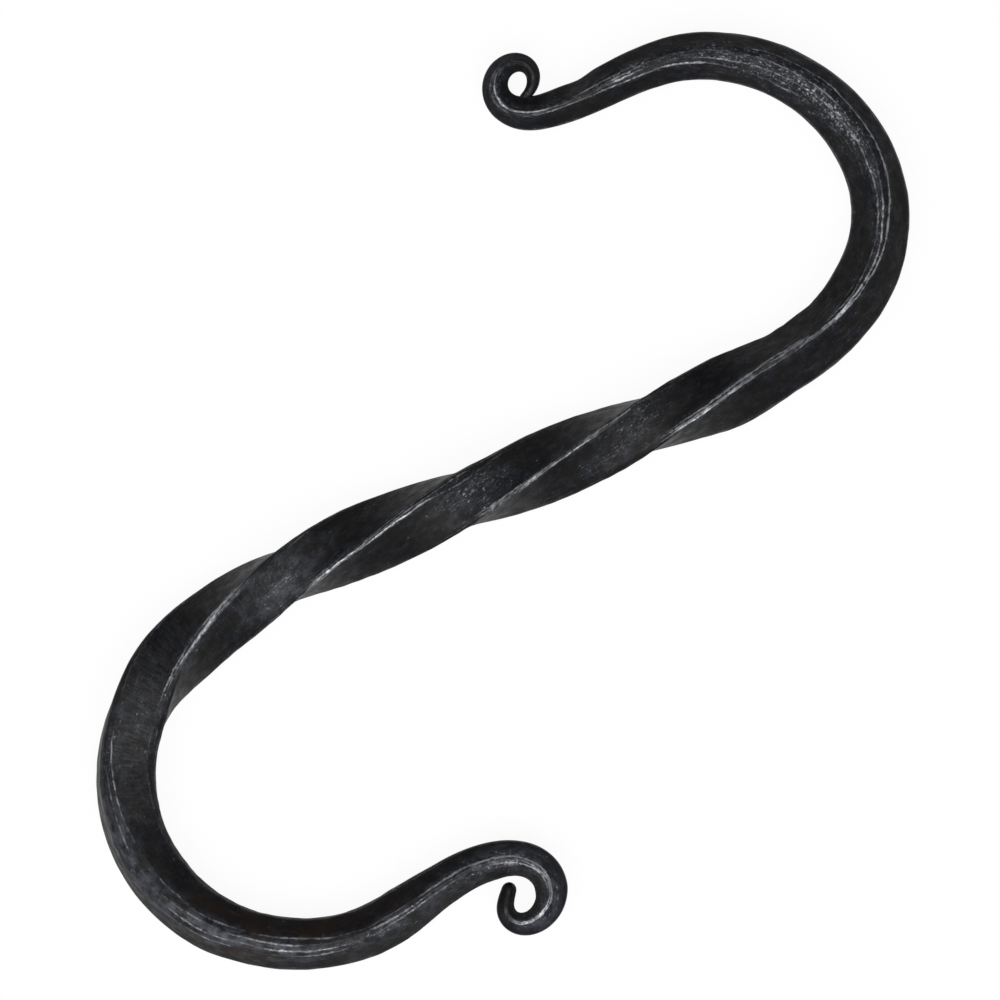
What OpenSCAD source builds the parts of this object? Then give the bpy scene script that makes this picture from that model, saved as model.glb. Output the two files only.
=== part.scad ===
// Hand-forged S hook, from one square steel bar.
// The bar is twisted along its straight shank, bent into an upper and a lower bowl,
// drawn down towards both ends, and each end is rolled outwards into a small scroll.
// The bar is laid out from the middle of the shank, once towards each end: every bend
// has a length along the bar and a radius at the bar's centre line.

/* [Bar] */
// Side of the square bar in the shank
bar_side = 8.0; // [6:0.1:10]
// Flat that wear leaves on each corner of the shank
worn_flat = 1.0; // [0.3:0.1:2]
// Radius that softens every edge
edge_r = 0.4; // [0.1:0.05:0.8]
// Half of the length over which one bend runs into the next
bend_ease = 4.0; // [1:0.5:6]

/* [Shank] */
// Lean of the shank from the line between the two bowls' seats
shank_lean = 30; // [20:1:40]
// Straight bar from the middle of the shank to the upper bowl
shank_up = 30.0; // [20:0.5:45]
// Straight bar from the middle of the shank to the lower bowl
shank_down = 26.5; // [20:0.5:45]

/* [Twist] */
// Length of the shank over which the bar turns a quarter round
quarter_turn = 28.0; // [20:0.5:40]
// Start of the twist, from the middle of the shank up
twist_up = 38.0; // [25:0.5:45]
// End of the full twist, from the middle of the shank down
twist_down = 63.0; // [45:0.5:70]
// Last slow turn of the bar as it enters the lower bowl, in degrees
last_turn = 33; // [0:1:60]
// Length of that last slow turn
last_turn_len = 39.0; // [20:0.5:50]
// Lean of the upper corner outwards, at the end of the twist, in degrees
upper_lean = 7; // [0:1:15]
// Lean of the upper corner inwards, at the crown, in degrees
crown_lean = 9; // [0:1:15]

/* [Upper bowl] */
// Length of the first slight bend
upper_ease_len = 13.0; // [8:0.5:20]
// Radius of the first slight bend
upper_ease_r = 110; // [80:1:200]
// Length of the run into the bowl
run_len = 14.5; // [10:0.5:18]
// Radius of the run into the bowl
run_r = 31.5; // [28:0.5:45]
// Length of the tight side of the bowl
flank_len = 22.0; // [18:0.5:26]
// Radius of the tight side of the bowl
flank_r = 20.4; // [18:0.1:24]
// Length of the crown, which carries the load
crown_len = 36.5; // [30:0.5:42]
// Radius of the crown
crown_r = 25.2; // [22:0.1:30]
// Length of the slack end of the bowl
slack_len = 6.8; // [4:0.1:10]
// Radius of the slack end of the bowl
slack_r = 47.5; // [35:0.5:80]

/* [Upper scroll] */
// Length of the neck, which bends back outwards
upper_neck_len = 12.4; // [8:0.5:16]
// Radius of the neck
upper_neck_r = 43.5; // [35:0.5:80]
// Length of the coil's outer part
upper_coil_len = 11.4; // [9:0.1:13]
// Radius of the coil's outer part
upper_coil_r = 3.6; // [3.4:0.05:4.5]
// Length of the coil's inner part
upper_eye_len = 5.8; // [4.5:0.1:8]
// Radius of the coil's inner part
upper_eye_r = 2.2; // [2:0.05:3]
// Length of the tip beyond the coil, before it is stopped by the bar
upper_tip_len = 4.6; // [0.5:0.1:5]
// Radius of the tip
upper_tip_r = 2.4; // [2:0.1:6]

/* [Lower bowl] */
// Length of the long slight bend
lower_ease_len = 27.0; // [20:0.5:34]
// Radius of the long slight bend
lower_ease_r = 76; // [60:1:110]
// Length of the bowl's deep side
deep_len = 50.5; // [44:0.5:56]
// Radius of the bowl's deep side
deep_r = 24.1; // [21:0.1:28]
// Length of the bowl's open side
open_len = 24.5; // [18:0.5:30]
// Radius of the bowl's open side
open_r = 26.7; // [23:0.1:32]

/* [Lower scroll] */
// Length of the straight neck
lower_neck_len = 8.2; // [5:0.1:12]
// Length of the first bend back outwards
lower_turn_len = 10.2; // [8:0.1:12]
// Radius of the first bend back outwards
lower_turn_r = 17.3; // [14:0.1:22]
// Length of the coil's outer part
lower_coil_len = 14.0; // [12:0.1:16]
// Radius of the coil's outer part
lower_coil_r = 4.7; // [4.2:0.05:5.6]
// Length of the coil's inner part
lower_eye_len = 4.7; // [3.5:0.1:6]
// Radius of the coil's inner part
lower_eye_r = 2.3; // [2:0.05:3]
// Straight tip beyond the coil
lower_tip_len = 3.1; // [0.5:0.1:4]

/* [Taper] */
// Side of the bar where the crown begins
flank_side = 7.2; // [6:0.1:8]
// Side of the bar where the crown ends
crown_side = 5.5; // [4.5:0.1:6.5]
// Side of the bar at the upper scroll's start
upper_scroll_side = 4.1; // [3.4:0.1:4.6]
// Side of the bar halfway round the upper scroll
upper_coil_side = 2.4; // [1.8:0.1:3]
// Side of the bar at the upper tip
upper_tip_side = 0.8; // [0.7:0.1:1.6]
// Side of the bar at the bottom of the lower bowl
bottom_side = 6.7; // [5.5:0.1:8]
// Side of the bar where the lower bowl ends
lower_neck_side = 6.0; // [5:0.1:7]
// Side of the bar at the lower scroll's start
lower_scroll_side = 4.2; // [3.6:0.1:5]
// Side of the bar halfway round the lower scroll
lower_coil_side = 3.9; // [3:0.1:4.4]
// Side of the bar at the lower tip
lower_tip_side = 1.9; // [1.2:0.1:2.2]

/* [Hammered corners] */
// Flat on the upper and under corners at the crown
crown_flat = 2.4; // [1:0.1:3]
// Flat on the upper and under corners round the lower bowl
bowl_flat = 2.0; // [1:0.1:3]
// Flat on the inner and outer corners of the upper bowl
upper_side_flat = 2.3; // [1:0.1:3]
// Flat on the inner and outer corners at the end of the crown
crown_end_flat = 1.6; // [1:0.1:2.4]
// Flat on the inner and outer corners of the lower bowl
lower_side_flat = 1.9; // [1:0.1:3]
// Flat on every corner at the scrolls, as a share of the bar's side
scroll_flat = 0.24; // [0.1:0.02:0.35]

/* [Clearance] */
// Gap between a scroll's tip and the bar that it is rolled against
tip_gap = 0.15; // [0.1:0.05:1]

/* [Hidden] */

step = 0.2;           // spacing of the layout points along the bar
coarse = 11;          // layout points from ring to ring in the shank and the bowls
fine = 4;             // layout points from ring to ring in the scrolls
rounded_end = 5;      // layout points over which a tip is rounded, with a ring at each
blunt = 0.55;         // length over which a tip is rounded, as a share of its side
point = 0.35;         // size of a tip's last ring, as a share of the bar's
widest_flat = 0.4;    // widest flat on a corner, as a share of the bar's side
nearly_half = 0.45;   // share of a bend, or of an edge, that one rounding may use up
twist_ease = 4.0;     // half of the length over which the twist sets in
iron_black = "#2a2b2e";

// Bends of each half, from the middle of the shank out: [length, curvature].
UPPER = [
    [shank_up, 0],
    [upper_ease_len, 1 / upper_ease_r],
    [run_len, 1 / run_r],
    [flank_len, 1 / flank_r],
    [crown_len, 1 / crown_r],
    [slack_len, 1 / slack_r],
    [upper_neck_len, -1 / upper_neck_r],
    [upper_coil_len, -1 / upper_coil_r],
    [upper_eye_len, -1 / upper_eye_r],
    [upper_tip_len, -1 / upper_tip_r],
];
LOWER = [
    [shank_down, 0],
    [lower_ease_len, 1 / lower_ease_r],
    [deep_len, 1 / deep_r],
    [open_len, 1 / open_r],
    [lower_neck_len, 0],
    [lower_turn_len, -1 / lower_turn_r],
    [lower_coil_len, -1 / lower_coil_r],
    [lower_eye_len, -1 / lower_eye_r],
    [lower_tip_len, 0],
];

// Distance from the middle of the shank to the end of bend i.
function reach(bends, i) = i < 0 ? 0 : bends[i][0] + reach(bends, i - 1);
function total(bends) = reach(bends, len(bends) - 1);

// A ramp that rises at 1:1 beyond 0, with its corner eased over 2 * e.
function ramp(x, e) = x <= -e ? 0 : x >= e ? x : pow(x + e, 2) / (4 * e);

// Turn of the bar's direction, in degrees, at a distance q along a half.
function turn(bends, q) = 180 / PI * (bends[0][1] * q + sum([
    for (i = [1 : len(bends) - 1])
        (bends[i][1] - bends[i - 1][1])
        * ramp(
            q - reach(bends, i - 1),
            min(bend_ease, nearly_half * min(bends[i - 1][0], bends[i][0]))
        )
]));
function sum(v, i = 0) = i < len(v) ? v[i] + sum(v, i + 1) : 0;

// Layout points [x, y, direction] of a half that leaves the middle of the shank at angle a.
function layout(bends, a) = [
    for (i = 0, x = 0, y = 0, h = a;
         i * step <= total(bends);
         i = i + 1,
         x = x + step * cos(a + turn(bends, (i - 0.5) * step)),
         y = y + step * sin(a + turn(bends, (i - 0.5) * step)),
         h = a + turn(bends, i * step))
        [x, y, h]
];

// Bar's side and its corners' flats at q, which is negative in the upper half.
function up_end(i) = -reach(UPPER, i);
function down_end(i) = reach(LOWER, i);
crown_middle = (up_end(3) + up_end(4)) / 2;
last_turn_start = twist_down + last_turn_len / 4;
SIDE = [
    [up_end(9), upper_tip_side],
    [up_end(7), upper_coil_side],
    [up_end(6), upper_scroll_side],
    [up_end(4), crown_side],
    [up_end(3), flank_side],
    [up_end(2), bar_side],
    [down_end(1) + deep_len / 2, bar_side],
    [down_end(2), bottom_side],
    [down_end(3), lower_neck_side],
    [down_end(5), lower_scroll_side],
    [down_end(5) + lower_coil_len / 2, lower_coil_side],
    [down_end(8), lower_tip_side],
];
FACE_FLAT = [
    [up_end(6), scroll_flat * upper_scroll_side],
    [crown_middle, crown_flat],
    [up_end(3), crown_flat],
    [up_end(1), worn_flat],
    [twist_down, worn_flat],
    [last_turn_start, bowl_flat],
    [down_end(3), bowl_flat],
    [down_end(5), scroll_flat * lower_scroll_side],
];
SIDE_FLAT = [
    [up_end(6), scroll_flat * upper_scroll_side],
    [up_end(4), crown_end_flat],
    [up_end(3), upper_side_flat],
    [up_end(1), upper_side_flat],
    [-twist_up + twist_ease, worn_flat],
    [twist_down, worn_flat],
    [last_turn_start, lower_side_flat],
    [down_end(2), lower_side_flat],
    [down_end(5), scroll_flat * lower_scroll_side],
];
LEAN = [[up_end(6), 0], [crown_middle, -crown_lean], [up_end(2), 0], [up_end(1), upper_lean]];

function side(q) = lookup(q, SIDE);
function flat(q, table) = min(lookup(q, table), widest_flat * side(q));
function twist(q) =
    90 / quarter_turn * (ramp(q + twist_up, twist_ease) - ramp(q - twist_down, twist_ease))
    + last_turn / last_turn_len
    * (ramp(q - twist_down, twist_ease) - ramp(q - twist_down - last_turn_len, twist_ease));
function roll(q) = lookup(q, LEAN) - twist(q);

// Cross-section at q as [across, up] points: a square on its corner, with each corner
// cut to a flat and each edge that this leaves rounded by three points.
function cut_square(q) = let (
    d = side(q) / sqrt(2),
    f = flat(q, FACE_FLAT) / 2,
    g = flat(q, SIDE_FLAT) / 2
) [
    [f, d - f], [d - g, g], [d - g, -g], [f, f - d],
    [-f, f - d], [g - d, -g], [g - d, g], [-f, d - f]
];
function unit(v) = v / norm(v);
function rounded(pts) = [
    for (i = [0 : len(pts) - 1])
        let (
            p = pts[i],
            a = pts[(i + len(pts) - 1) % len(pts)] - p,
            b = pts[(i + 1) % len(pts)] - p,
            t = min(edge_r * tan(22.5), nearly_half * norm(a), nearly_half * norm(b)),
            sag = t * (1 / sin(22.5) - 1 / tan(22.5))
        )
        each [p + t * unit(a), p + sag * unit(unit(a) + unit(b)), p + t * unit(b)]
];
function turned(pts, a) = [
    for (p = pts) [p.x * cos(a) + p.y * sin(a), p.y * cos(a) - p.x * sin(a)]
];

// Half of the bar's width in the hook's plane at q.
function half_width(q) = max([for (p = turned(cut_square(q), roll(q))) p.x]);

// Size of the bar at a distance d from the end of a tip with side s, as a share of it.
function end_size(d, s) = let (k = min(1, d / (blunt * s))) max(point, sqrt(1 - pow(1 - k, 2)));

// Last layout point of a half. A scroll's tip stops where its rounded end would close
// tip_gap to its own bar: what lies beyond coil, along the bar, can meet the stretch that
// starts at neck.
function last_point(pts, sign, coil, neck) = let (
    first = ceil(coil / step),
    room = [
        for (j = [first : len(pts) - 1])
            let (p = [pts[j].x, pts[j].y])
                min([
                    for (i = [floor(neck / step) : 2 : floor((coil + neck) / 2 / step)])
                        norm(p - [pts[i].x, pts[i].y]) - half_width(sign * i * step)
                ])
    ],
    meets = [
        for (j = [first + rounded_end : len(pts) - 1])
            if (min([
                for (k = [0 : rounded_end])
                    room[j - first - k]
                    - side(sign * j * step) / 2 * end_size(k * step, side(sign * j * step))
            ]) < tip_gap) j
    ]
) len(meets) > 0 ? meets[0] - 1 : len(pts) - 1;

UP = layout(UPPER, 90 - shank_lean);
DOWN = layout(LOWER, -90 - shank_lean);
UP_LAST = last_point(UP, -1, reach(UPPER, 7), reach(UPPER, 5));
DOWN_LAST = last_point(DOWN, 1, reach(LOWER, 6), reach(LOWER, 3));

// Layout points that carry a ring, from the middle of the shank out.
function stations(scroll, last) = let (
    join = coarse * floor(scroll / step / coarse),
    tip = last - rounded_end
) concat(
    [for (j = [0 : coarse : join]) j],
    [for (j = [join + fine : fine : tip - 1]) j],
    [for (j = [tip : last]) j]
);

// The ring at layout point j of a half, as points in space. sign is -1 in the upper
// half, where the bar runs towards the middle, and 1 in the lower half.
function ring(pts, sign, j, last) = let (
    q = sign * j * step,
    size = end_size((last - j) * step, side(sign * last * step)),
    across = sign * [sin(pts[j].z), -cos(pts[j].z), 0]
) [
    for (p = turned(rounded(cut_square(q)), roll(q)))
        [pts[j].x, pts[j].y, 0] + size * (p.x * across + [0, 0, p.y])
];

UP_STATIONS = stations(reach(UPPER, 5), UP_LAST);
DOWN_STATIONS = stations(reach(LOWER, 4), DOWN_LAST);
RINGS = concat(
    [for (i = [len(UP_STATIONS) - 1 : -1 : 1]) ring(UP, -1, UP_STATIONS[i], UP_LAST)],
    [for (j = DOWN_STATIONS) ring(DOWN, 1, j, DOWN_LAST)]
);
POINTS = [for (r = RINGS) each r];
SIDES = len(RINGS[0]);
FACES = concat(
    [[for (k = [0 : SIDES - 1]) k]],
    [
        for (i = [0 : len(RINGS) - 2], k = [0 : SIDES - 1])
            let (
                a = i * SIDES + k,
                b = i * SIDES + (k + 1) % SIDES,
                c = b + SIDES,
                d = a + SIDES
            )
            each [[a, d, c], [a, c, b]]
    ],
    [[for (k = [SIDES - 1 : -1 : 0]) (len(RINGS) - 1) * SIDES + k]]
);

// The hook lies flat on the ground, its box centred over the origin.
function middle(v) = (min(v) + max(v)) / 2;
module hook() {
    color(iron_black)
        translate([
            -middle([for (p = POINTS) p.x]),
            -middle([for (p = POINTS) p.y]),
            -min([for (p = POINTS) p.z])
        ])
            polyhedron(POINTS, FACES, convexity = 6);
}

hook();
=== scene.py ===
"""Hand-forged S hook, from one square steel bar, twisted, bent and rolled to a scroll at
each end, then brushed and waxed black. The bar lies flat, so the camera looks down on it.

The bar is one closed surface of two parameters: the distance q along the bar from the
middle of its shank, negative towards the upper scroll, and the place round its section.
Lengths in the tables are millimetres.
"""

import math

import bpy
import numpy as np
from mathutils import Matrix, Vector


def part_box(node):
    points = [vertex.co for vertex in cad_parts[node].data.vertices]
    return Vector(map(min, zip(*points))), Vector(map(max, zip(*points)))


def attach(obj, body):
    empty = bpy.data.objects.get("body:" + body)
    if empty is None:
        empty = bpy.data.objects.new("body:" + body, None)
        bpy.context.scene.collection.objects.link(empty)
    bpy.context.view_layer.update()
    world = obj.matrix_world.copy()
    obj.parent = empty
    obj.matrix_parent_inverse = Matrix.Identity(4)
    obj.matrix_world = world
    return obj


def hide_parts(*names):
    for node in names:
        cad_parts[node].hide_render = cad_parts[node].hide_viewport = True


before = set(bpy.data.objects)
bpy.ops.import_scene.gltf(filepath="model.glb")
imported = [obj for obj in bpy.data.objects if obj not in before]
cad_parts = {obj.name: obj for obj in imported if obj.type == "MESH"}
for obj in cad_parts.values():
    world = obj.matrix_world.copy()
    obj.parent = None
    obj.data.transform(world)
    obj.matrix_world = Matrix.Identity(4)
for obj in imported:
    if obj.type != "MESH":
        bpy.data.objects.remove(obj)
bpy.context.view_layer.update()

MM = 0.001
SEED = 7

# ---------------------------------------------------------------- the bar's layout

# Bends of each half, from the middle of the shank out: (length, curvature).
UPPER = [
    (30.0, 0.0), (13.0, 1 / 110), (14.5, 1 / 31.5), (22.0, 1 / 20.4), (36.5, 1 / 25.2),
    (6.8, 1 / 47.5), (12.4, -1 / 43.5), (11.4, -1 / 3.6), (4.4, -1 / 2.2), (6.0, -1 / 4.6),
]
LOWER = [
    (26.5, 0.0), (27.0, 1 / 76), (50.5, 1 / 24.1), (24.5, 1 / 26.7), (8.2, 0.0),
    (10.2, -1 / 17.3), (14.0, -1 / 4.7), (4.7, -1 / 2.3), (3.1, 0.0),
]
SHANK_LEAN = 30.0     # degrees between the shank and the line of pull
UPPER_END = 154.4     # where the upper tip ends, along its half
LOWER_END = 168.6     # where the lower tip ends, along its half
STEP = 0.2            # spacing of the layout points
BEND_EASE = 4.0       # half of the length over which one bend runs into the next
NEARLY_HALF = 0.45    # share of a bend that one easing may use up

# Side of the bar where its taper changes: (q, side).
SIDE = [
    (-157.0, 0.8), (-146.6, 2.4), (-135.2, 4.1), (-116.0, 5.5), (-79.5, 7.2), (-57.5, 8.0),
    (78.8, 8.0), (104.0, 6.7), (128.5, 6.0), (146.9, 4.2), (153.9, 3.9), (168.7, 1.9),
]
# Twist of the bar: (q where a rate starts, degrees per mm from there on), and how far
# the whole section leans: (q, degrees).
TWIST = [(-38.0, 90 / 28), (63.0, 33 / 39), (102.0, 0.0)]
TWIST_EASE = 4.0
LEAN = [(-135.2, 0.0), (-97.8, 4.0), (-57.5, 0.0), (-43.0, 7.0)]

# Rounding of the corners, as the depth that wear and hammer have taken off each:
# (q, corners on the hook's two faces, corners at its two sides).
WORN = [
    (-146.6, 0.3, 0.3), (-135.2, 0.5, 0.5), (-116.0, 0.9, 0.8), (-97.8, 1.2, 1.0),
    (-79.5, 1.2, 1.15), (-43.0, 0.5, 1.15), (-34.0, 0.5, 0.5), (63.0, 0.5, 0.5),
    (72.8, 1.0, 0.95), (104.0, 1.0, 0.95), (128.5, 1.0, 0.7), (146.9, 0.5, 0.5),
]

# Band of four ridges that the hammer left along each corner. A row gives q, the places
# of the band's first and last ridge across the corner in mm, and how far each of those
# two has been brushed bright, from 0 to 1.
RIDGES = [
    [   # the corner on top of the upper bowl, and on top again of the lower bowl
        (-150, -0.3, 0.3, 0.1, 0.1), (-140, -0.2, 0.8, 0.6, 0.8), (-128, -0.3, 0.4, 0.5, 0.5),
        (-112, -1.3, 0.9, 0.3, 0.7), (-95, -1.9, 1.9, 0.3, 0.7), (-80, -1.8, 1.6, 0.7, 0.2),
        (-60, -0.4, 1.1, 1.0, 0.2), (-48, 0.1, 0.9, 0.9, 0.6), (-38, -0.4, 0.5, 0.6, 0.9),
        (-26, 0.3, 0.9, 0.8, 0.4), (-16, -0.3, 1.2, 0.1, 0.1), (20, -0.4, 0.4, 0.3, 0.3),
        (62, -0.6, 0.8, 0.3, 0.1), (84, -1.6, 1.6, 0.3, 0.4), (112, -1.5, 0.9, 0.5, 0.5),
        (128, -1.2, 0.5, 0.7, 0.2), (146, -0.9, 0.4, 0.8, 0.2), (159, 0.0, 0.5, 0.9, 0.2),
        (166, -0.4, 0.2, 0.0, 0.0),
    ],
    [   # the inner corner of the upper bowl, on top of the shank above its middle
        (-150, -0.3, 0.3, 0.2, 0.2), (-80, -1.2, 1.2, 0.3, 0.3), (-36, -0.5, 0.5, 0.1, 0.1),
        (-18, -0.7, -0.1, 0.6, 0.4), (-8, -0.1, 0.5, 0.9, 0.4), (2, 0.2, 0.8, 0.6, 0.6),
        (14, 0.0, 1.0, 0.1, 0.1), (60, -0.5, 0.5, 0.4, 0.4), (90, -1.2, 1.2, 0.3, 0.3),
        (130, -0.6, 0.6, 0.3, 0.3), (166, -0.3, 0.3, 0.1, 0.1),
    ],
    [   # the lower corner of both bowls, on top of the shank below its middle
        (-150, -0.3, 0.3, 0.2, 0.2), (-80, -1.2, 1.2, 0.3, 0.3), (-10, -0.6, 0.6, 0.1, 0.1),
        (6, -1.1, 0.8, 0.6, 0.1), (20, -0.1, 0.7, 0.9, 0.3), (32, 0.1, 0.9, 0.8, 0.2),
        (45, -0.4, 0.9, 0.1, 0.1), (90, -1.2, 1.2, 0.3, 0.3), (130, -0.6, 0.6, 0.3, 0.3),
        (166, -0.3, 0.3, 0.1, 0.1),
    ],
    [   # the outer corner of the upper bowl, on top where the shank meets the lower bowl
        (-150, -0.3, 0.3, 0.2, 0.2), (-80, -1.2, 1.2, 0.3, 0.3), (26, -0.5, 0.4, 0.1, 0.1),
        (38, -0.6, 0.2, 0.4, 0.3), (47, -0.3, 0.6, 0.8, 0.9), (56, -0.2, 1.0, 0.2, 0.7),
        (62, -0.4, 1.2, 0.1, 0.3), (80, -1.4, 0.7, 0.3, 0.2), (130, -0.6, 0.6, 0.4, 0.3),
        (166, -0.3, 0.3, 0.1, 0.1),
    ],
]
RIDGE_COUNT = 4       # ridges along a corner
# The hammer's unevenness, each a seeded wander along the bar: (spacing in mm, size).
RIDGE_WANDERS = [(7.0, 0.12), (3.0, 0.08), (0.9, 0.04)]  # a ridge's place, mm
SHINE_WANDER = (5.0, 0.7)      # a ridge's brightness, as a share of it
SIDE_WANDER = (9.0, 0.03)      # the bar's side, as a share of it
SWAY_WANDER = (11.0, 0.12)     # the bar's centre off its line to either side, mm
# Its hollows in the skin: (length along the bar in mm, cells round it, depth in mm).
HOLLOWS = [(5.5, 9, 0.16), (1.3, 26, 0.07)]
BAR_SIDE = 8.0        # side of the bar where hollows and filling have their full depth
FILLED_OUT = 0.12     # added all round for what facets and worn corners take off, mm
WIDEST_BAND = 0.42    # farthest a ridge comes across a corner, as a share of the section
DEEPEST_WEAR = 0.3    # deepest that wear takes a corner down, as a share of the section
CORNERS = len(RIDGES)
EDGE_R = 0.16         # half of the width over which a ridge is rounded
LEAST_APART = 0.16    # nearest that two ridges come
RINGS = 1120          # sections along the bar
FACE_POINTS = 7       # points across a face, between two corners' ridges
BLUNT = 0.55          # length over which a tip is rounded, as a share of its side


def ramp(x, ease):
    """0 below -ease, x above ease, and (x + ease)^2 / (4 ease) between them."""
    eased = (np.clip(x, -ease, ease) + ease) ** 2 / (4 * ease)
    return eased + np.maximum(x - ease, 0.0)


def turn(bends, s):
    """Turn of the bar's direction at a distance s along a half, in radians: the sum over
    the bends of each change of curvature times the eased distance beyond its start."""
    angle = bends[0][1] * s
    start = 0.0
    for (length, bend), (after_length, after) in zip(bends, bends[1:]):
        start += length
        ease = min(BEND_EASE, NEARLY_HALF * min(length, after_length))
        angle = angle + (after - bend) * ramp(s - start, ease)
    return angle


def half_line(bends, direction, end):
    """Points of a half's centre line every STEP: the running sum of STEP times
    (cos, sin) of the heading halfway along each step."""
    s = np.arange(0.0, end + STEP, STEP)
    heading = direction + turn(bends, s[:-1] + STEP / 2)
    x = np.concatenate([[0.0], np.cumsum(STEP * np.cos(heading))])
    y = np.concatenate([[0.0], np.cumsum(STEP * np.sin(heading))])
    return s, x, y


def centre_line(q):
    """Place (x, y) of the bar's centre at q, and the unit vector across the bar, to the
    right of someone who walks from the upper tip to the lower one."""
    up, down = math.radians(90 - SHANK_LEAN), math.radians(-90 - SHANK_LEAN)
    s_up, x_up, y_up = half_line(UPPER, up, UPPER_END + 1)
    s_down, x_down, y_down = half_line(LOWER, down, LOWER_END + 1)
    s = np.abs(q)
    upper = q < 0
    x = np.where(upper, np.interp(s, s_up, x_up), np.interp(s, s_down, x_down))
    y = np.where(upper, np.interp(s, s_up, y_up), np.interp(s, s_down, y_down))
    heading = np.where(upper, math.pi + up + turn(UPPER, s), down + turn(LOWER, s))
    return x, y, np.stack([np.sin(heading), -np.cos(heading)], axis=-1)


def table(q, rows, column=1):
    """A table's column at q, straight between its rows."""
    return np.interp(q, [r[0] for r in rows], [r[column] for r in rows])


def roll(q):
    """Turn of the section at q, in radians: its lean, less the twist up to there."""
    twist = 0.0
    before = 0.0
    for start, rate in TWIST:
        twist = twist + (rate - before) * ramp(q - start, TWIST_EASE)
        before = rate
    return np.radians(table(q, LEAN) - twist)


def waver(q, rng, spacing, size):
    """A smooth seeded wander along q: random heights every spacing mm, joined by the
    half cosine between neighbours, times size."""
    cells = np.arange(math.floor(q.min() / spacing) - 1, math.ceil(q.max() / spacing) + 2)
    heights = rng.uniform(-1, 1, len(cells))
    place = q / spacing - cells[0]
    i = np.floor(place).astype(int)
    f = (1 - np.cos(math.pi * (place - i))) / 2
    return size * (heights[i] * (1 - f) + heights[i + 1] * f)


def ridge_places(q, rng):
    """Place across its corner of each ridge at q, (rings, corners, ridges), and how bright
    each is. The ridges stand evenly from the table's first to its last, and each wanders
    by up to a quarter of a mm; its brightness comes and goes along the bar."""
    place = np.empty((len(q), CORNERS, RIDGE_COUNT))
    bright = np.empty_like(place)
    for c, rows in enumerate(RIDGES):
        for k in range(RIDGE_COUNT):
            share = k / (RIDGE_COUNT - 1)
            wander = sum(waver(q, rng, *each) for each in RIDGE_WANDERS)
            place[:, c, k] = table(q, rows, 1) * (1 - share) + table(q, rows, 2) * share + wander
            shine = table(q, rows, 3) * (1 - share) + table(q, rows, 4) * share
            bright[:, c, k] = np.clip(shine * (1 + waver(q, rng, *SHINE_WANDER)), 0.0, 1.0)
    for k in range(1, RIDGE_COUNT):
        place[:, :, k] = np.maximum(place[:, :, k], place[:, :, k - 1] + LEAST_APART)
    return place, bright


def section(q, rng):
    """The untwisted section at each q as a closed row of points [across, up], with each
    point's distance from the nearest ridge and that ridge's brightness.

    A ridge at x across a corner stands at h = side / sqrt 2 - (x^4 + worn^4)^(1/4) along
    the corner's own direction, a flat top that runs into the two faces beside it. The
    facets between ridges are straight, and a ridge is rounded over EDGE_R each way."""
    place, bright = ridge_places(q, rng)
    side = table(q, SIDE) * (1 + waver(q, rng, *SIDE_WANDER))
    half = (side / math.sqrt(2))[:, None, None]
    worn = np.stack([table(q, WORN, 1 + c % 2) for c in range(CORNERS)], axis=1)[:, :, None]
    fit = np.minimum(1.0, WIDEST_BAND * half / np.abs(place).max(axis=2, keepdims=True))
    place = place * fit
    worn = np.minimum(worn, DEEPEST_WEAR * half)
    height = half - (place**4 + worn**4) ** 0.25
    angle = np.arange(CORNERS) * math.pi / 2
    outward = np.stack([np.sin(angle), np.cos(angle)], axis=1)[None, :, None, :]
    along = np.stack([np.cos(angle), -np.sin(angle)], axis=1)[None, :, None, :]
    tops = (height[..., None] * outward + place[..., None] * along).reshape(len(q), -1, 2)
    bright = bright.reshape(len(q), -1)

    after = np.roll(tops, -1, axis=1)
    before = np.roll(tops, 1, axis=1)
    to_after = after - tops
    to_before = before - tops
    length_after = np.linalg.norm(to_after, axis=2)
    length_before = np.linalg.norm(to_before, axis=2)
    cut_after = np.minimum(EDGE_R, 0.3 * length_after)
    cut_before = np.minimum(EDGE_R, 0.3 * length_before)
    start = tops + to_before * (cut_before / length_before)[..., None]
    end = tops + to_after * (cut_after / length_after)[..., None]
    crest = tops / 2 + (start + end) / 4

    points, distance, shine = [], [], []
    count = tops.shape[1]
    next_start = np.roll(start, -1, axis=1)
    next_cut = np.roll(cut_before, -1, axis=1)
    next_bright = np.roll(bright, -1, axis=1)
    for k in range(count):
        points += [start[:, k], crest[:, k], end[:, k]]
        distance += [cut_before[:, k], 0 * cut_before[:, k], cut_after[:, k]]
        shine += [bright[:, k]] * 3
        between = FACE_POINTS if k % RIDGE_COUNT == RIDGE_COUNT - 1 else 1
        for j in range(1, between + 1):
            f = j / (between + 1)
            points.append(end[:, k] * (1 - f) + next_start[:, k] * f)
            run = length_after[:, k] - cut_after[:, k] - next_cut[:, k]
            from_this = cut_after[:, k] + f * run
            from_next = next_cut[:, k] + (1 - f) * run
            distance.append(np.minimum(from_this, from_next))
            shine.append(np.where(f < 0.5, bright[:, k], next_bright[:, k]))
    return np.stack(points, 1), np.stack(distance, 1), np.stack(shine, 1)


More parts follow.
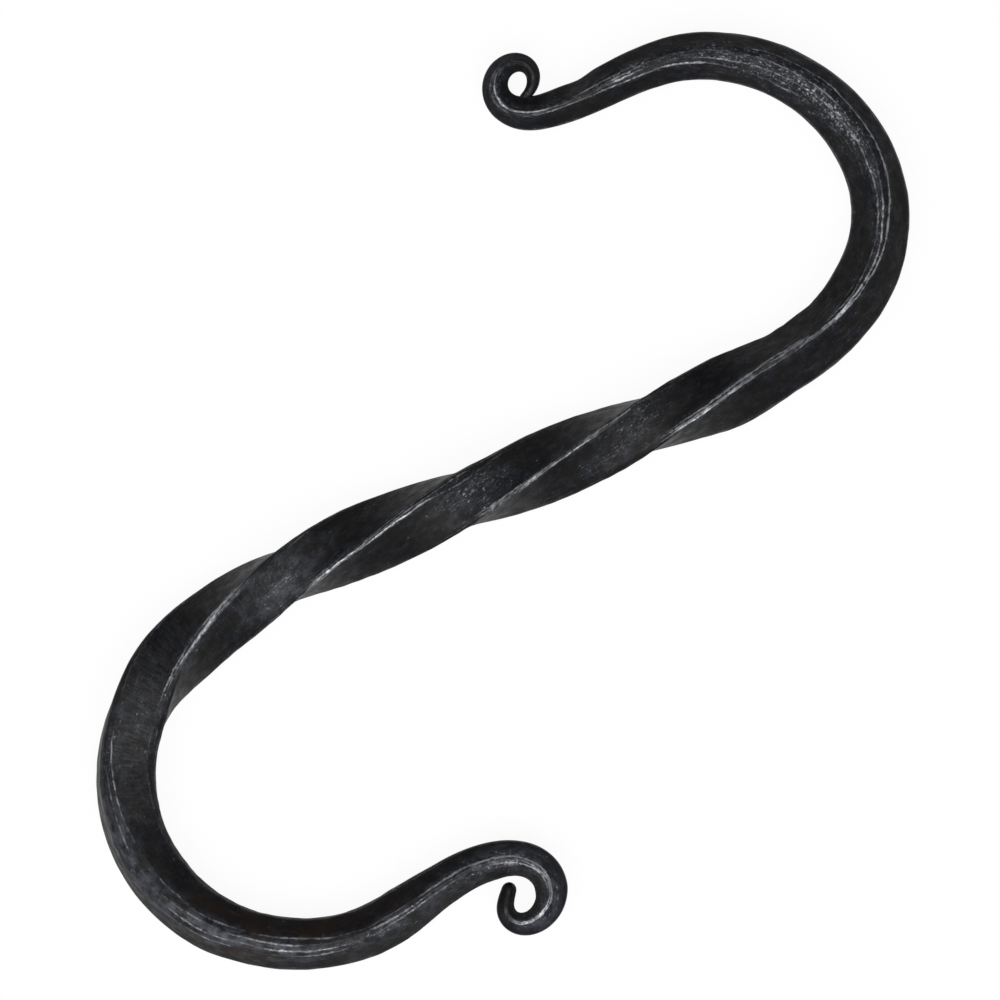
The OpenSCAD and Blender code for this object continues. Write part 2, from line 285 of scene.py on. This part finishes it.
def bar_places():
    """Each ring's q and its size as a share of the bar's: rings stand evenly along the
    bar, closing up at each tip, where the size falls as sqrt(1 - (1 - k)^2)."""
    ends = []
    for end, sign in ((UPPER_END, -1), (LOWER_END, 1)):
        reach = BLUNT * float(table(np.array([sign * end]), SIDE)[0])
        k = 1 - np.cos(np.linspace(0.12, math.pi / 2, 9))[:-1]
        ends.append((end, reach, k))
    (up_end, up_reach, k), (down_end, down_reach, _) = ends
    middle = np.linspace(-up_end + up_reach, down_end - down_reach, RINGS - 2 * len(k))
    q = np.concatenate([-up_end + k * up_reach, middle, (down_end - k * down_reach)[::-1]])
    size = np.concatenate([np.sqrt(1 - (1 - k) ** 2), np.ones(len(middle)),
                           np.sqrt(1 - (1 - k[::-1]) ** 2)])
    return q, size


def hammered(q, angle, rng, length, cells, depth):
    """How far hammer work has sunk the skin at (q, angle), in mm: random heights over
    depth on a lattice of length mm along the bar by cells round it, joined between
    neighbours by the half cosine in both directions."""
    rows = math.ceil((q.max() - q.min()) / length) + 2
    heights = rng.uniform(-depth / 2, depth / 2, (rows, cells))
    u = (q - q.min()) / length
    v = angle / (2 * math.pi) * cells
    i, j = np.floor(u).astype(int), np.floor(v).astype(int)
    fu = (1 - np.cos(math.pi * (u - i))) / 2
    fv = (1 - np.cos(math.pi * (v - j))) / 2
    near = heights[i, j % cells] * (1 - fv) + heights[i, (j + 1) % cells] * fv
    far = heights[i + 1, j % cells] * (1 - fv) + heights[i + 1, (j + 1) % cells] * fv
    return near * (1 - fu) + far * fu


def spots(q, angle, radius, rows):
    """The sum over rows (q, degrees round the section, half length, half width, height)
    of height times exp(-(dq / half length)^2 - (arc / half width)^2)."""
    total = np.zeros_like(angle)
    for at, degrees, length, width, height in rows:
        apart = (angle - math.radians(degrees) + math.pi) % (2 * math.pi) - math.pi
        total += height * np.exp(-((q - at) / length) ** 2 - (apart * radius / width) ** 2)
    return total


# Dents and chips: (q, place round the section in degrees, half length, half width, depth).
# The section's top corner is at 0 and its right corner at 90, before the bar is twisted.
DENTS = [
    (139.6, 4, 0.75, 0.75, 0.45), (139.6, 4, 1.25, 1.25, -0.12), (145.8, -12, 0.4, 0.6, 0.2),
    (-126.0, -88, 2.0, 1.5, 0.25), (-57.2, -20, 1.0, 0.7, 0.25), (-52.0, 92, 1.6, 1.4, 0.2),
]
# Brown where the wax has browned over scale: (q, degrees, half length, half width, share).
BROWNED = [
    (112, -40, 14, 2.4, 0.8), (104, 24, 10, 1.2, 0.7), (96, -42, 10, 2.0, 0.3),
    (-24, 30, 6, 1.6, 0.3), (2, 200, 6, 1.2, 0.4), (78, 60, 14, 1.6, 0.6),
    (-48, 50, 8, 1.6, 0.5), (-66, -60, 8, 1.6, 0.3), (150, 60, 5, 1.2, 0.5),
]
# Grey where the brush has cut into the faces: (q, degrees, half length, half width, share).
SCUFFED = [
    (-141, 2, 6, 1.4, 0.6), (-121, -12, 12, 1.0, 0.8), (-104, 2, 8, 2.4, 0.7),
    (-91, 8, 9, 2.6, 1.0), (-82, 4, 6, 2.2, 0.6), (-68, 4, 12, 1.1, 0.5),
    (-44, 3, 9, 0.8, 0.5), (-55, -50, 12, 1.6, 0.3), (-20, 64, 5, 3.0, 0.7),
    (-13, 30, 5, 1.6, 0.5), (3, 132, 6, 3.0, 0.6), (8, 156, 5, 1.6, 0.5),
    (36, 224, 6, 3.4, 0.7), (52, 268, 5, 1.0, 0.5), (64, 300, 8, 3.0, 0.4),
    (70, -8, 6, 0.9, 0.7), (90, 10, 12, 1.4, 0.4), (122, 5, 12, 1.3, 0.6),
    (139, 4, 2, 1.4, 0.6), (144, -8, 4, 1.6, 0.9), (150, -8, 5, 1.6, 0.7),
    (158, -20, 4, 1.2, 0.6),
]
# Strokes of the brush across the bar: (q, degrees, half length, half width, share).
STROKED = [(64, -42, 14, 3.6, 1.0), (40, 250, 9, 3.0, 0.6)]
# Painted sheen: a soft even band of light painted into the colour as lighter grey along the bar:
# the same numbers again.
PAINTED_SHEEN = [
    (-44, 3, 7, 0.5, 0.5), (50, 272, 5, 0.6, 0.5), (82, 8, 6, 1.7, 0.6), (94, 5, 9, 1.7, 0.9),
    (108, 1, 9, 1.6, 1.0), (128, -2, 9, 1.1, 0.5), (147, -18, 8, 1.4, 0.6), (158, -30, 4, 1.4, 0.6),
    (35, 224, 7, 3.0, 0.4),
]


def forged_bar(rng):
    """The hook's skin in mm, (rings, points round, 3): the section, rolled by roll(q) and
    set across the centre line at each q, filled out, then sunk by hammer and dents. Also
    the same points on the straight bar, (q, across, up), and what is worn where."""
    q, size = bar_places()
    points, distance, shine = section(q, rng)
    angle = np.arctan2(points[..., 0], points[..., 1]) % (2 * math.pi)
    radius = np.linalg.norm(points, axis=2)
    along = np.broadcast_to(q[:, None], angle.shape)
    thin = (table(q, SIDE) / BAR_SIDE)[:, None]
    sunk = sum(hammered(along, angle, rng, *each) for each in HOLLOWS)
    sunk = thin * (sunk - FILLED_OUT) + spots(along, angle, radius, DENTS)
    points = points * ((1 - sunk / radius) * size[:, None])[..., None]
    x, y, across = centre_line(q)
    sway = waver(q, rng, *SWAY_WANDER)
    x, y = x + sway * across[:, 0], y + sway * across[:, 1]
    a = roll(q)[:, None]
    side_on = points[..., 0] * np.cos(a) + points[..., 1] * np.sin(a)
    up = points[..., 1] * np.cos(a) - points[..., 0] * np.sin(a)
    skin = np.stack([x[:, None] + side_on * across[:, None, 0],
                     y[:, None] + side_on * across[:, None, 1], up], axis=-1)
    straight = np.concatenate([along[..., None], points], axis=-1)
    fields = {"ridge": distance, "worn": shine}
    for field, rows in (("browned", BROWNED), ("scuffed", SCUFFED), ("stroked", STROKED),
                        ("painted_sheen", PAINTED_SHEEN)):
        fields[field] = np.clip(spots(along, angle, radius, rows), 0, 1.3)
    return skin, straight, fields


def closed_tube(name, skin, straight, fields, centre):
    """A mesh of a tube's rings of points, closed by a fan round a middle point at each
    end, in metres, with its straight place and its other fields as point attributes."""
    rings, around = skin.shape[:2]
    ends = [0, rings - 1]
    points = np.concatenate([skin.reshape(-1, 3), skin[ends].mean(axis=1)]) - centre
    place = np.concatenate([straight.reshape(-1, 3), straight[ends].mean(axis=1)])
    k = np.arange(around)
    after = (k + 1) % around
    row = np.arange(rings - 1)[:, None] * around
    quads = np.stack([row + k, row + after, row + after + around, row + k + around], -1)
    first, last = rings * around, rings * around + 1
    base = (rings - 1) * around
    fans = [np.stack([after, k, np.full(around, first)], -1),
            np.stack([base + k, base + after, np.full(around, last)], -1)]
    mesh = bpy.data.meshes.new(name)
    mesh.from_pydata((points * MM).tolist(), [],
                     quads.reshape(-1, 4).tolist() + np.concatenate(fans).tolist())
    mesh.attributes.new("bar", "FLOAT_VECTOR", "POINT").data.foreach_set(
        "vector", place.ravel())
    for field, values in fields.items():
        full = np.concatenate([values.ravel(), values[ends].mean(axis=1)])
        mesh.attributes.new(field, "FLOAT", "POINT").data.foreach_set("value", full)
    mesh.shade_smooth()
    mesh.validate()
    thing = bpy.data.objects.new(name, mesh)
    bpy.context.scene.collection.objects.link(thing)
    return thing


# ---------------------------------------------------------------- finish

def linear(colour):
    """An sRGB hex colour as linear RGBA: c / 12.92 up to 0.04045, and above that
    ((c + 0.055) / 1.055) ^ 2.4."""
    c = np.array([int(colour[i:i + 2], 16) / 255 for i in (1, 3, 5)])
    c = np.where(c <= 0.04045, c / 12.92, ((c + 0.055) / 1.055) ** 2.4)
    return (*c.tolist(), 1.0)


def add(tree, kind, inputs=None, **settings):
    """Adds a node with its settings. An input is a value, a socket to link, or a node,
    which links its first output."""
    new = tree.nodes.new(kind)
    for name, value in settings.items():
        setattr(new, name, value)
    for key, value in (inputs or {}).items():
        if isinstance(value, bpy.types.Node):
            value = value.outputs[0]
        if isinstance(value, bpy.types.NodeSocket):
            tree.links.new(value, new.inputs[key])
        else:
            new.inputs[key].default_value = value
    return new


# Noise on the straight bar: (cells per mm, stretch along the bar, stretch across it,
# detail, roughness). The grain of forge scale is about 0.1 mm and is drawn at 0.35 mm,
# the finest that shows.
GRAINS = {
    "cloud": (0.25, 0.7, 1.0, 3.0, 0.55),      # patches of thicker wax, 4 mm
    "patch": (0.75, 0.8, 1.0, 4.0, 0.62),      # scale that has come away, 1.3 mm
    "grain": (3.3, 0.65, 1.0, 2.0, 0.60),      # grain of the scale
    "bead": (2.2, 0.5, 0.7, 4.0, 0.75),        # nicks along a ridge
    "ragged": (1.6, 0.7, 1.0, 3.0, 0.70),      # rim of a brushed line
    "gap": (0.30, 0.7, 0.7, 2.0, 0.60),        # breaks in a brushed line
    "drawn": (2.2, 0.14, 1.0, 3.0, 0.60),      # scratches along the bar
    "stroke": (3.2, 1.0, 0.12, 3.0, 0.65),     # scratches across it
}


def waxed_forged_steel():
    """Hot-forged mild steel with its black scale, wire brushed and waxed. The eye sees
    near-black faces, mottled and a little dusty, with a soft sheen, and broken silver
    lines where the brush has worn the scale off the ridges."""
    material = bpy.data.materials.new("waxed_forged_steel")
    material.use_nodes = True
    tree = material.node_tree
    tree.nodes.clear()
    field = {}
    for name in ("ridge", "worn", "browned", "scuffed", "stroked", "painted_sheen"):
        field[name] = add(tree, "ShaderNodeAttribute", attribute_name=name).outputs["Fac"]
    bar = add(tree, "ShaderNodeAttribute", attribute_name="bar").outputs["Vector"]
    for shift, (name, (cells, along, across, detail, rough)) in enumerate(GRAINS.items()):
        place = add(tree, "ShaderNodeMapping",
                    {"Vector": bar, "Location": (13.0 * shift, 7.0 * shift, 3.0 * shift),
                     "Scale": (along, across, across)})
        field[name] = add(tree, "ShaderNodeTexNoise",
                          {"Vector": place, "Scale": cells, "Detail": detail,
                           "Roughness": rough}).outputs["Fac"]

    # A line is bright within 0.05 to 0.2 mm of its ridge, out to a ragged rim
    reach = add(tree, "ShaderNodeMath", {0: field["ragged"], 1: 0.6, 2: field["ridge"]},
                operation="MULTIPLY_ADD")
    width = add(tree, "ShaderNodeMath", {0: field["worn"], 1: 0.14, 2: 0.31},
                operation="MULTIPLY_ADD")
    beyond = add(tree, "ShaderNodeMath", {0: reach, 1: width}, operation="SUBTRACT")
    line = add(tree, "ShaderNodeMapRange", {0: beyond, 1: 0.08, 2: -0.10, 3: 0.0, 4: 1.0},
               interpolation_type="SMOOTHSTEP")
    bead = add(tree, "ShaderNodeMapRange",
               {0: field["bead"], 1: 0.36, 2: 0.66, 3: 0.25, 4: 1.0},
               interpolation_type="SMOOTHSTEP")
    whole = add(tree, "ShaderNodeMath", {0: field["worn"], 1: 0.28, 2: field["gap"]},
                operation="MULTIPLY_ADD")
    whole = add(tree, "ShaderNodeMapRange", {0: whole, 1: 0.45, 2: 0.80, 3: 0.15, 4: 1.0},
                interpolation_type="SMOOTHSTEP")
    for share in (bead, whole, field["worn"]):
        line = add(tree, "ShaderNodeMath", {0: line, 1: share}, operation="MULTIPLY")

    # Bright flecks, partly bare steel where the brush caught raised grain and partly painted glints
    # of the grain's relief:
    # more of them in scuffed places and within 1 mm of a worn ridge
    beside = add(tree, "ShaderNodeMapRange", {0: field["ridge"], 1: 1.0, 2: 0.1, 3: 0.0, 4: 0.6},
                 interpolation_type="SMOOTHSTEP")
    beside = add(tree, "ShaderNodeMath", {0: beside, 1: field["worn"]}, operation="MULTIPLY")
    speckle_place = add(tree, "ShaderNodeMath", {0: field["scuffed"], 1: beside}, operation="MAXIMUM")
    glint_level = add(tree, "ShaderNodeMath", {0: speckle_place, 1: 0.17, 2: field["grain"]},
                 operation="MULTIPLY_ADD")
    glint_level = add(tree, "ShaderNodeMath", {0: field["patch"], 1: 0.30, 2: glint_level},
                 operation="MULTIPLY_ADD")
    fleck_glint = add(tree, "ShaderNodeMapRange", {0: glint_level, 1: 0.86, 2: 1.10, 3: 0.0, 4: 0.60},
                interpolation_type="SMOOTHSTEP")
    drawn = add(tree, "ShaderNodeMath", {0: speckle_place, 1: 0.12, 2: field["drawn"]},
                operation="MULTIPLY_ADD")
    drawn = add(tree, "ShaderNodeMapRange", {0: drawn, 1: 0.62, 2: 0.80, 3: 0.0, 4: 0.05},
                interpolation_type="SMOOTHSTEP")
    # Bright dots round scattered points, partly painted glints
    pits = add(tree, "ShaderNodeTexVoronoi", {"Vector": bar, "Scale": 1.5, "Randomness": 1.0})
    near = add(tree, "ShaderNodeMath", {0: field["patch"], 1: 0.55, 2: speckle_place},
               operation="MULTIPLY_ADD")
    near = add(tree, "ShaderNodeMapRange", {0: near, 1: 0.35, 2: 1.3, 3: -0.30, 4: -0.03})
    near = add(tree, "ShaderNodeMath", {0: field["ragged"], 1: 0.55, 2: near},
               operation="MULTIPLY_ADD")
    near = add(tree, "ShaderNodeMath", {0: near, 1: pits.outputs["Distance"]},
               operation="SUBTRACT")
    pit_glint = add(tree, "ShaderNodeMapRange", {0: near, 1: -0.04, 2: 0.18, 3: 0.0, 4: 0.30},
              interpolation_type="SMOOTHSTEP")
    stroke = add(tree, "ShaderNodeMapRange",
                 {0: field["stroke"], 1: 0.42, 2: 0.72, 3: 0.0, 4: 0.045},
                 interpolation_type="SMOOTHSTEP")
    stroke = add(tree, "ShaderNodeMath", {0: stroke, 1: field["stroked"]},
                 operation="MULTIPLY")
    bright = line
    for mark in (fleck_glint, pit_glint, drawn, stroke):
        bright = add(tree, "ShaderNodeMath", {0: bright, 1: mark}, operation="MAXIMUM")

    # Scale and wax, blue-black to olive, dusty where it is scuffed and brown in places
    thick = add(tree, "ShaderNodeMapRange", {0: field["cloud"], 1: 0.36, 2: 0.64},
                interpolation_type="SMOOTHSTEP")
    black = add(tree, "ShaderNodeMix", {0: thick, 6: linear("#0b0b0f"), 7: linear("#131210")},
                data_type="RGBA")
    bare = add(tree, "ShaderNodeMapRange", {0: field["patch"], 1: 0.44, 2: 0.66, 3: 0.0, 4: 0.8},
               interpolation_type="SMOOTHSTEP")
    black = add(tree, "ShaderNodeMix",
                {0: bare, 6: black.outputs[2], 7: linear("#1b1c21")}, data_type="RGBA")
    dust = add(tree, "ShaderNodeMath", {0: field["patch"], 1: 0.6, 2: field["grain"]},
               operation="MULTIPLY_ADD")
    dust = add(tree, "ShaderNodeMapRange", {0: dust, 1: 0.68, 2: 1.0, 3: 0.15, 4: 0.85},
               interpolation_type="SMOOTHSTEP")
    dust = add(tree, "ShaderNodeMath", {0: dust, 1: speckle_place}, operation="MULTIPLY")
    black = add(tree, "ShaderNodeMix",
                {0: dust, 6: black.outputs[2], 7: linear("#3a3c42")}, data_type="RGBA")
    # Painted sheen: the colour turns lighter grey in a soft band of light, patchy with the scale
    painted_sheen = add(tree, "ShaderNodeMapRange", {0: field["patch"], 1: 0.38, 2: 0.62, 3: 0.1, 4: 1.0})
    painted_sheen = add(tree, "ShaderNodeMath", {0: field["painted_sheen"], 1: painted_sheen}, operation="MULTIPLY")
    black = add(tree, "ShaderNodeMix",
                {0: painted_sheen, 6: black.outputs[2], 7: linear("#484b52")}, data_type="RGBA")
    brown = add(tree, "ShaderNodeMath", {0: field["browned"], 1: thick}, operation="MULTIPLY")
    black = add(tree, "ShaderNodeMix",
                {0: brown, 6: black.outputs[2], 7: linear("#1e140f")}, data_type="RGBA")
    colour = add(tree, "ShaderNodeMix",
                 {0: bright, 6: black.outputs[2], 7: linear("#b2b5b9")}, data_type="RGBA")

    # Relief of the scale's grain, its pits and the brush's scratches
    relief = add(tree, "ShaderNodeMath", {0: field["grain"], 1: 0.5, 2: field["patch"]},
                 operation="MULTIPLY_ADD")
    relief = add(tree, "ShaderNodeMath", {0: field["drawn"], 1: 0.3, 2: relief},
                 operation="MULTIPLY_ADD")
    bump = add(tree, "ShaderNodeBump", {"Strength": 0.6, "Distance": 0.00018, "Height": relief})
    rough = add(tree, "ShaderNodeMapRange", {0: field["patch"], 1: 0.35, 2: 0.65, 3: 0.56, 4: 0.42},
                interpolation_type="SMOOTHSTEP")
    shader = add(tree, "ShaderNodeBsdfPrincipled",
                 {"Base Color": colour.outputs[2], "Metallic": bright, "Roughness": rough,
                  "Specular IOR Level": 0.12, "Normal": bump})
    add(tree, "ShaderNodeOutputMaterial", {0: shader})
    return material


rng = np.random.default_rng(SEED)
skin, straight, fields = forged_bar(rng)
low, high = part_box("hook")
# The bar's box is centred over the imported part's, and its lowest point is on the ground.
least, most = skin.min(axis=(0, 1)), skin.max(axis=(0, 1))
centre = np.array([(least[0] + most[0] - (low.x + high.x) / MM) / 2,
                   (least[1] + most[1] - (low.y + high.y) / MM) / 2, least[2] - low.z / MM])
hook = closed_tube("forged_bar", skin, straight, fields, centre)
hook.data.materials.append(waxed_forged_steel())
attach(hook, "root")
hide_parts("hook")


# ---------------------------------------------------------------- floor, light and camera

def white_ground():
    """White card. What the camera and mirrors see of it is white, less a little where
    the hook keeps the light off it."""
    material = bpy.data.materials.new("white_card")
    material.use_nodes = True
    tree = material.node_tree
    tree.nodes.clear()
    path = add(tree, "ShaderNodeLightPath").outputs
    seen = add(tree, "ShaderNodeMath", {0: path["Is Camera Ray"], 1: path["Is Glossy Ray"]},
               operation="ADD", use_clamp=True).outputs[0]
    seen = add(tree, "ShaderNodeMath", {0: seen, 1: path["Is Transmission Ray"]},
               operation="ADD", use_clamp=True).outputs[0]
    share = add(tree, "ShaderNodeMath", {0: seen, 1: GROUND_WHITE},
                operation="MULTIPLY").outputs[0]
    card = add(tree, "ShaderNodeBsdfDiffuse", {"Color": linear("#f4f4f4")})
    white = add(tree, "ShaderNodeEmission", {"Color": (1, 1, 1, 1), "Strength": 1.0})
    mix = add(tree, "ShaderNodeMixShader", {0: share, 1: card.outputs[0],
                                            2: white.outputs[0]})
    add(tree, "ShaderNodeOutputMaterial", {0: mix.outputs[0]})
    return material


GROUND_WHITE = 0.94    # share of the ground's look that is plain white
GROUND_REACH = 4.0     # metres from the middle to the ground's edge
VIEW_TURN = math.radians(37.8)   # the picture's right, turned from +X about +Z
VIEW_WIDTH = 0.144   # metres across the picture at the bar's middle height
VIEW_AWAY = 0.75       # metres from the camera to the bar
VIEW_CENTRE = (-0.002, 0.0)  # what the camera looks straight down on
SENSOR = 36.0

edge = GROUND_REACH
ground = bpy.data.meshes.new("ground")
ground.from_pydata([(-edge, -edge, 0), (edge, -edge, 0), (edge, edge, 0), (-edge, edge, 0)],
                   [], [(0, 1, 2, 3)])
floor = bpy.data.objects.new("ground", ground)
ground.materials.append(white_ground())
bpy.context.scene.collection.objects.link(floor)

world = bpy.data.worlds.new("room")
world.use_nodes = True
world.node_tree.nodes["Background"].inputs["Color"].default_value = (1, 1, 1, 1)
world.node_tree.nodes["Background"].inputs["Strength"].default_value = 0.10
bpy.context.scene.world = world


def panel(name, bearing, height, away, width, depth, power):
    """A soft rectangular light that faces the origin, bearing degrees from the picture's
    right, height degrees above the ground and away metres off."""
    light = bpy.data.lights.new(name, "AREA")
    light.shape = "RECTANGLE"
    light.size, light.size_y, light.energy = width, depth, power
    lamp = bpy.data.objects.new(name, light)
    side, rise = VIEW_TURN + math.radians(bearing), math.radians(height)
    lamp.location = (away * math.cos(rise) * math.cos(side),
                     away * math.cos(rise) * math.sin(side), away * math.sin(rise))
    lamp.rotation_euler = (math.pi / 2 - rise, 0, side + math.pi / 2)
    bpy.context.scene.collection.objects.link(lamp)


panel("window", -100, 68, 1.3, 1.6, 1.0, 20.0)
panel("ceiling", -90, 88, 1.5, 1.4, 1.4, 6.0)

camera = bpy.data.cameras.new("camera")
camera.sensor_width = SENSOR
camera.lens = SENSOR * VIEW_AWAY / VIEW_WIDTH
camera.clip_start, camera.clip_end = 0.01, 20
eye = bpy.data.objects.new("camera", camera)
eye.location = (*VIEW_CENTRE, (low.z + high.z) / 2 + VIEW_AWAY)
eye.rotation_euler = (0, 0, VIEW_TURN)
bpy.context.scene.collection.objects.link(eye)
bpy.context.scene.camera = eye
bpy.context.scene.view_settings.view_transform = "Standard"
